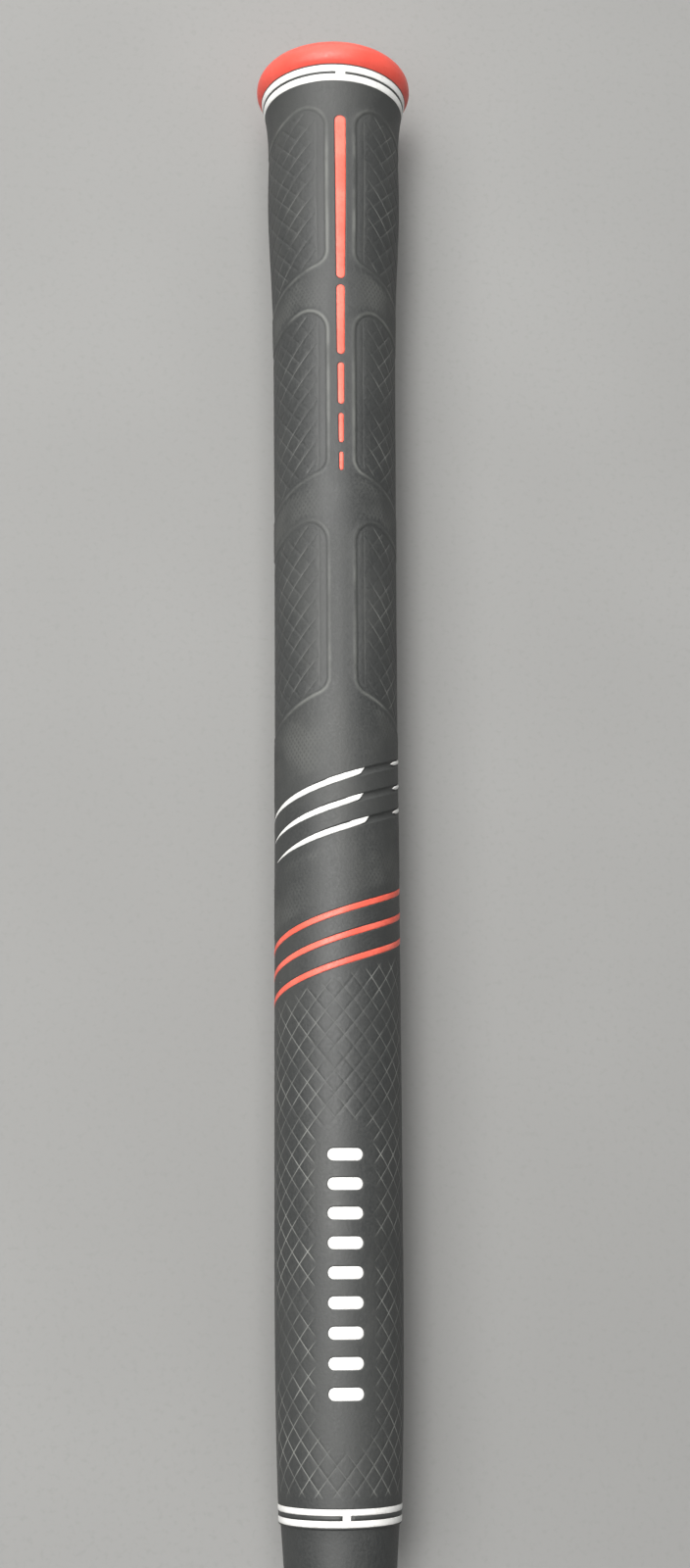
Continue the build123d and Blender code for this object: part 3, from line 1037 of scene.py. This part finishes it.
def paint_material(name, colour, darker, lighter, roughness):
    """Paint with uneven colour and a darker edge."""
    s = Shade(name)
    patches = s.noise(160, 4, 0.6)
    fine = s.noise(2100, 3, 0.6)
    base = s.mix(s.remap(patches, 0.38, 0.66), colour, lighter)
    base = s.mix(s.remap(fine, 0.5, 0.78, 0.0, 0.35), base, darker)
    rim = s.math("MULTIPLY", s.attribute("edge"), s.remap(s.noise(700, 3), 0.4, 0.7, 0.1, 0.6))
    base = s.mix(rim, base, darker)
    rough = s.remap(fine, 0.3, 0.7, roughness - 0.06, roughness + 0.12)
    return s.finish(Base_Color=base, Roughness=rough, Specular_IOR_Level=0.5,
                    Normal=s.bump(fine, 0.00005, 0.35, s.bump(patches, 0.0002, 0.15)))


def cap_material():
    """Smooth red rubber with fine scuffs."""
    s = Shade("red_cap_rubber")
    patches = s.noise(95, 4, 0.6)
    grain = s.noise(1900, 3, 0.6)
    scratches = s.noise(230, 3, 0.6, s.stretched(1.0, 7.0, 1.0))
    base = s.mix(s.remap(patches, 0.35, 0.7), (0.71, 0.082, 0.058), (0.78, 0.11, 0.08))
    base = s.mix(s.remap(scratches, 0.60, 0.78, 0.0, 0.35), base, (0.88, 0.20, 0.15))
    base = s.mix(s.remap(grain, 0.55, 0.8, 0.0, 0.3), base, (0.55, 0.04, 0.03))
    rough = s.remap(grain, 0.3, 0.7, 0.36, 0.52)
    return s.finish(Base_Color=base, Roughness=rough, Specular_IOR_Level=0.5,
                    Normal=s.bump(grain, 0.00005, 0.4, s.bump(scratches, 0.00008, 0.2)))


def core_material():
    """Dark plastic, hidden inside the sleeve."""
    s = Shade("core_plastic")
    patches = s.noise(300, 3, 0.6)
    base = s.mix(patches, (0.08, 0.08, 0.09), (0.13, 0.13, 0.14))
    rough = s.remap(patches, 0.3, 0.7, 0.42, 0.6)
    return s.finish(Base_Color=base, Roughness=rough, Normal=s.bump(s.noise(1500, 2), 0.00005, 0.3))


def floor_material():
    """A plain pale surface with a faint speckle."""
    s = Shade("pale_floor")
    cloudy = s.noise(6, 3, 0.6)
    speckle = s.noise(900, 2, 0.6)
    base = s.mix(s.remap(cloudy, 0.35, 0.7), (0.225, 0.225, 0.221), (0.247, 0.247, 0.243))
    base = s.mix(s.remap(speckle, 0.5, 0.75, 0.0, 0.3), base, (0.195, 0.195, 0.191))
    return s.finish(Base_Color=base, Roughness=0.85)


rubber = rubber_material()
red_paint = paint_material("red_paint", colour=(0.72, 0.105, 0.068), darker=(0.50, 0.05, 0.035),
                           lighter=(0.78, 0.15, 0.105), roughness=0.42)
white_paint = paint_material("white_paint", colour=(0.76, 0.76, 0.745), darker=(0.50, 0.49, 0.465),
                             lighter=(0.83, 0.83, 0.815), roughness=0.45)


def finish_piece(piece, mat, slot, *nodes):
    """Gives a piece its material, hangs it under the root body and hides the CAD nodes that it stands for;
    the slot is not used.
    """
    piece.data.materials.clear()
    piece.data.materials.append(mat)
    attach(piece, "root")
    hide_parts(*nodes)


# ---- the pieces

sleeve = make_sleeve()
finish_piece(sleeve, rubber, "sleeve_rubber", "rubber_sleeve")

RED, WHITE = (red_paint, "red_paint"), (white_paint, "white_paint")


def paint(name, shape, crown, spacing, mat, slot, node):
    finish_piece(fill_of(name, shape, crown, spacing), mat, slot, node)


for number, shape in enumerate(dashes, 1):
    paint(f"paint_dash_{number}", shape, 0.05, 0.4, *RED, f"alignment_dash_{number}")
for number, shape in enumerate(bars, 1):
    paint(f"paint_bar_{number}", shape, 0.05, 0.45, *WHITE, f"gauge_bar_{number}")
for number, shape in enumerate(red_stripes, 1):
    paint(f"paint_red_stripe_{number}", shape, 0.04, 0.4, *RED, f"red_stripe_{number}")


def worn_wave(a, seed, size):
    """A repeatable ragged line."""
    return size * (np.sin(2.9 * a + seed) + 0.6 * np.sin(7.3 * a + 2.1 * seed)
                   + 0.45 * np.sin(15.1 * a + 3.7 * seed) + 0.3 * np.sin(33.0 * a + 5.1 * seed)) / 2.35


def worn_stripe(number):
    """The two painted stretches of a white stripe, either side of where the paint has gone."""
    whole = white_grooves[number]
    cut, again = arc(WORN_FROM[number]), arc(WORN_TO[number])
    step = WORN_STEP[number]

    def low_left(a):
        thin = np.clip((a - (cut - 4.5)) / 4.5, 0, 1) ** 2
        close = smooth((a - (cut - 0.9)) / 0.9)
        worn = 0.05 + worn_wave(a, number + 1.0, 0.035)
        return whole.half_at(a) * (-1 + worn + 0.5 * thin + 1.35 * close)

    def high_left(a):
        worn = 0.03 + 0.2 * (1 - smooth((a - step) / 0.5)) * smooth((a - step + 9) / 8)
        return whole.half_at(a) * (1 - worn - worn_wave(a, number + 4.0, 0.03))

    def low_right(a):
        close = 1 - smooth((a - again) / 1.4)
        return whole.half_at(a) * (-0.5 + 0.6 * close + worn_wave(a, number + 7.0, 0.05))

    def high_right(a):
        close = 1 - smooth((a - again) / 1.0)
        return whole.half_at(a) * (0.62 - 0.45 * close + worn_wave(a, number + 9.0, 0.05))

    left = Stripe(whole.front, (whole.ends[0], cut), whole.taper, whole.full, low_left, high_left)
    right = Stripe(whole.front, (again, whole.ends[1]), whole.taper, whole.full, low_right, high_right)
    return left, right


for number in range(3):
    name = f"white_stripe_{number + 1}"
    for end, shape in zip(("", "_end"), worn_stripe(number)):
        paint(f"paint_{name}{end}", shape, 0.04, 0.4, *WHITE, name)

for name, shape in rings.items():
    paint("paint_" + name, shape, 0.045, 0.45, *WHITE, name)


def arc_through(p, q, r, count):
    """Points of the arc from p through q to r, without its last point."""
    (ax, ay), (bx, by), (cx, cy) = p, q, r
    d = 2 * (ax * (by - cy) + bx * (cy - ay) + cx * (ay - by))
    ux = ((ax * ax + ay * ay) * (by - cy) + (bx * bx + by * by) * (cy - ay)
          + (cx * cx + cy * cy) * (ay - by)) / d
    uy = ((ax * ax + ay * ay) * (cx - bx) + (bx * bx + by * by) * (ax - cx)
          + (cx * cx + cy * cy) * (bx - ax)) / d
    start, end = math.atan2(ay - uy, ax - ux), math.atan2(cy - uy, cx - ux)
    middle = math.atan2(by - uy, bx - ux)
    turn = (end - start) % (2 * math.pi)
    if (middle - start) % (2 * math.pi) > turn:
        turn -= 2 * math.pi
    radius = math.hypot(ax - ux, ay - uy)
    return [(ux + radius * math.cos(start + turn * k / count),
             uy + radius * math.sin(start + turn * k / count)) for k in range(count)]


CAP_SEGMENTS = 160


def make_cap():
    """The butt cap, turned round the grip's axis: (y, radius) from the vent hole outwards."""
    profile = [(260.2, 1.3), (262.5, 1.3), (266.2, 1.3), (266.38, 1.34), (266.5, 1.5)]
    profile += [(266.5, 3.0), (266.5, 5.5), (266.5, 8.4), (266.5, 9.3)]
    profile += arc_through((266.5, 9.5), (266.62, 9.78), (266.85, 9.95), 4)
    profile += arc_through((266.85, 9.95), (266.96, 10.08), (267.0, 10.3), 4)
    profile += [(267.0, 10.3), (267.0, 11.2), (267.0, 11.95)]
    profile += arc_through((266.99, 12.2), (266.25, 13.42), (263.9, 14.35), 14)
    profile += arc_through((263.9, 14.35), (262.75, 14.1), (262.1, 13.62), 9)
    profile += [(262.1, 13.62), (261.95, 13.5), (261.85, 13.36), (261.8, 13.15), (261.75, 12.2),
                (261.75, 9.95), (259.0, 9.9), (259.0, 10.5), (256.6, 10.5), (256.6, 9.9),
                (255.0, 9.9), (255.0, BORE), (260.2, BORE)]
    return new_object("cap_red", *lathe(profile, CAP_SEGMENTS))


cap = make_cap()
finish_piece(cap, cap_material(), "cap_rubber", "butt_cap")

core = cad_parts["inner_core"]
core.data.materials.clear()
core.data.materials.append(core_material())


# ---- floor, light and camera

floor_height = cad_low.z
floor_mesh = bpy.data.meshes.new("floor")
FLOOR_REACH = 4.0  # metres from the middle to each edge
corners = [(x * FLOOR_REACH, y * FLOOR_REACH, floor_height) for x, y in ((-1, -1), (1, -1), (1, 1), (-1, 1))]
floor_mesh.from_pydata(corners, [], [(0, 1, 2, 3)])
floor = add_object("floor", floor_mesh)
floor_mesh.materials.append(floor_material())

world = bpy.data.worlds.new("studio")
bpy.context.scene.world = world
world.use_nodes = True
world.node_tree.nodes["Background"].inputs["Color"].default_value = (0.95, 0.98, 1.0, 1.0)
world.node_tree.nodes["Background"].inputs["Strength"].default_value = 0.06


def area_light(name, place, target, width, length, power, colour):
    """A rectangular soft light whose length runs along the grip."""
    lamp = bpy.data.lights.new(name, "AREA")
    lamp.shape = "RECTANGLE"
    lamp.size, lamp.size_y = width, length
    lamp.energy = power
    lamp.color = colour
    piece = add_object(name, lamp)
    away = (Vector(place) - Vector(target)).normalized()
    across = Vector((0, 1, 0)).cross(away).normalized()
    along = away.cross(across)
    turned = Matrix((across, along, away)).transposed().to_4x4()
    piece.matrix_world = Matrix.Translation(place) @ turned


middle = (0.0, 0.13, 0.0)
area_light("key", (-0.25, 0.26, 0.80), middle, 0.88, 1.35, 15.5, (1.0, 0.99, 0.97))
area_light("key_core", (-0.25, 0.24, 0.82), middle, 0.20, 0.50, 3.6, (1.0, 0.99, 0.97))
area_light("fill", (0.65, -0.25, 0.55), middle, 0.8, 0.8, 0.12, (0.95, 0.98, 1.0))
area_light("rim", (-0.10, 1.25, 0.38), (0.0, 0.26, 0.0), 1.4, 0.5, 6.0, (1.0, 0.99, 0.98))

# The camera's turn and place were fitted to the edges of the two white rings
camera_data = bpy.data.cameras.new("camera")
camera_data.lens = 46.6
camera_data.sensor_width = 36.0
camera = add_object("camera", camera_data)
bpy.context.scene.camera = camera
tilt, yaw, roll = math.radians(13.49), math.radians(-0.338), math.radians(-6.3)
turned = Matrix.Rotation(roll, 3, "Y")
right = turned @ Vector((math.cos(yaw), math.sin(yaw), 0))
up = turned @ Vector((-math.sin(yaw) * math.cos(tilt), math.cos(yaw) * math.cos(tilt), math.sin(tilt)))
back = right.cross(up)
place = turned @ Vector((0.0010, 0.0475, 0.3430))
camera.matrix_world = Matrix((
    (right.x, up.x, back.x, place.x),
    (right.y, up.y, back.y, place.y),
    (right.z, up.z, back.z, place.z),
    (0, 0, 0, 1),
))
camera_data.clip_start = 0.01
camera_data.clip_end = 20.0

bpy.context.scene.view_settings.view_transform = "Standard"
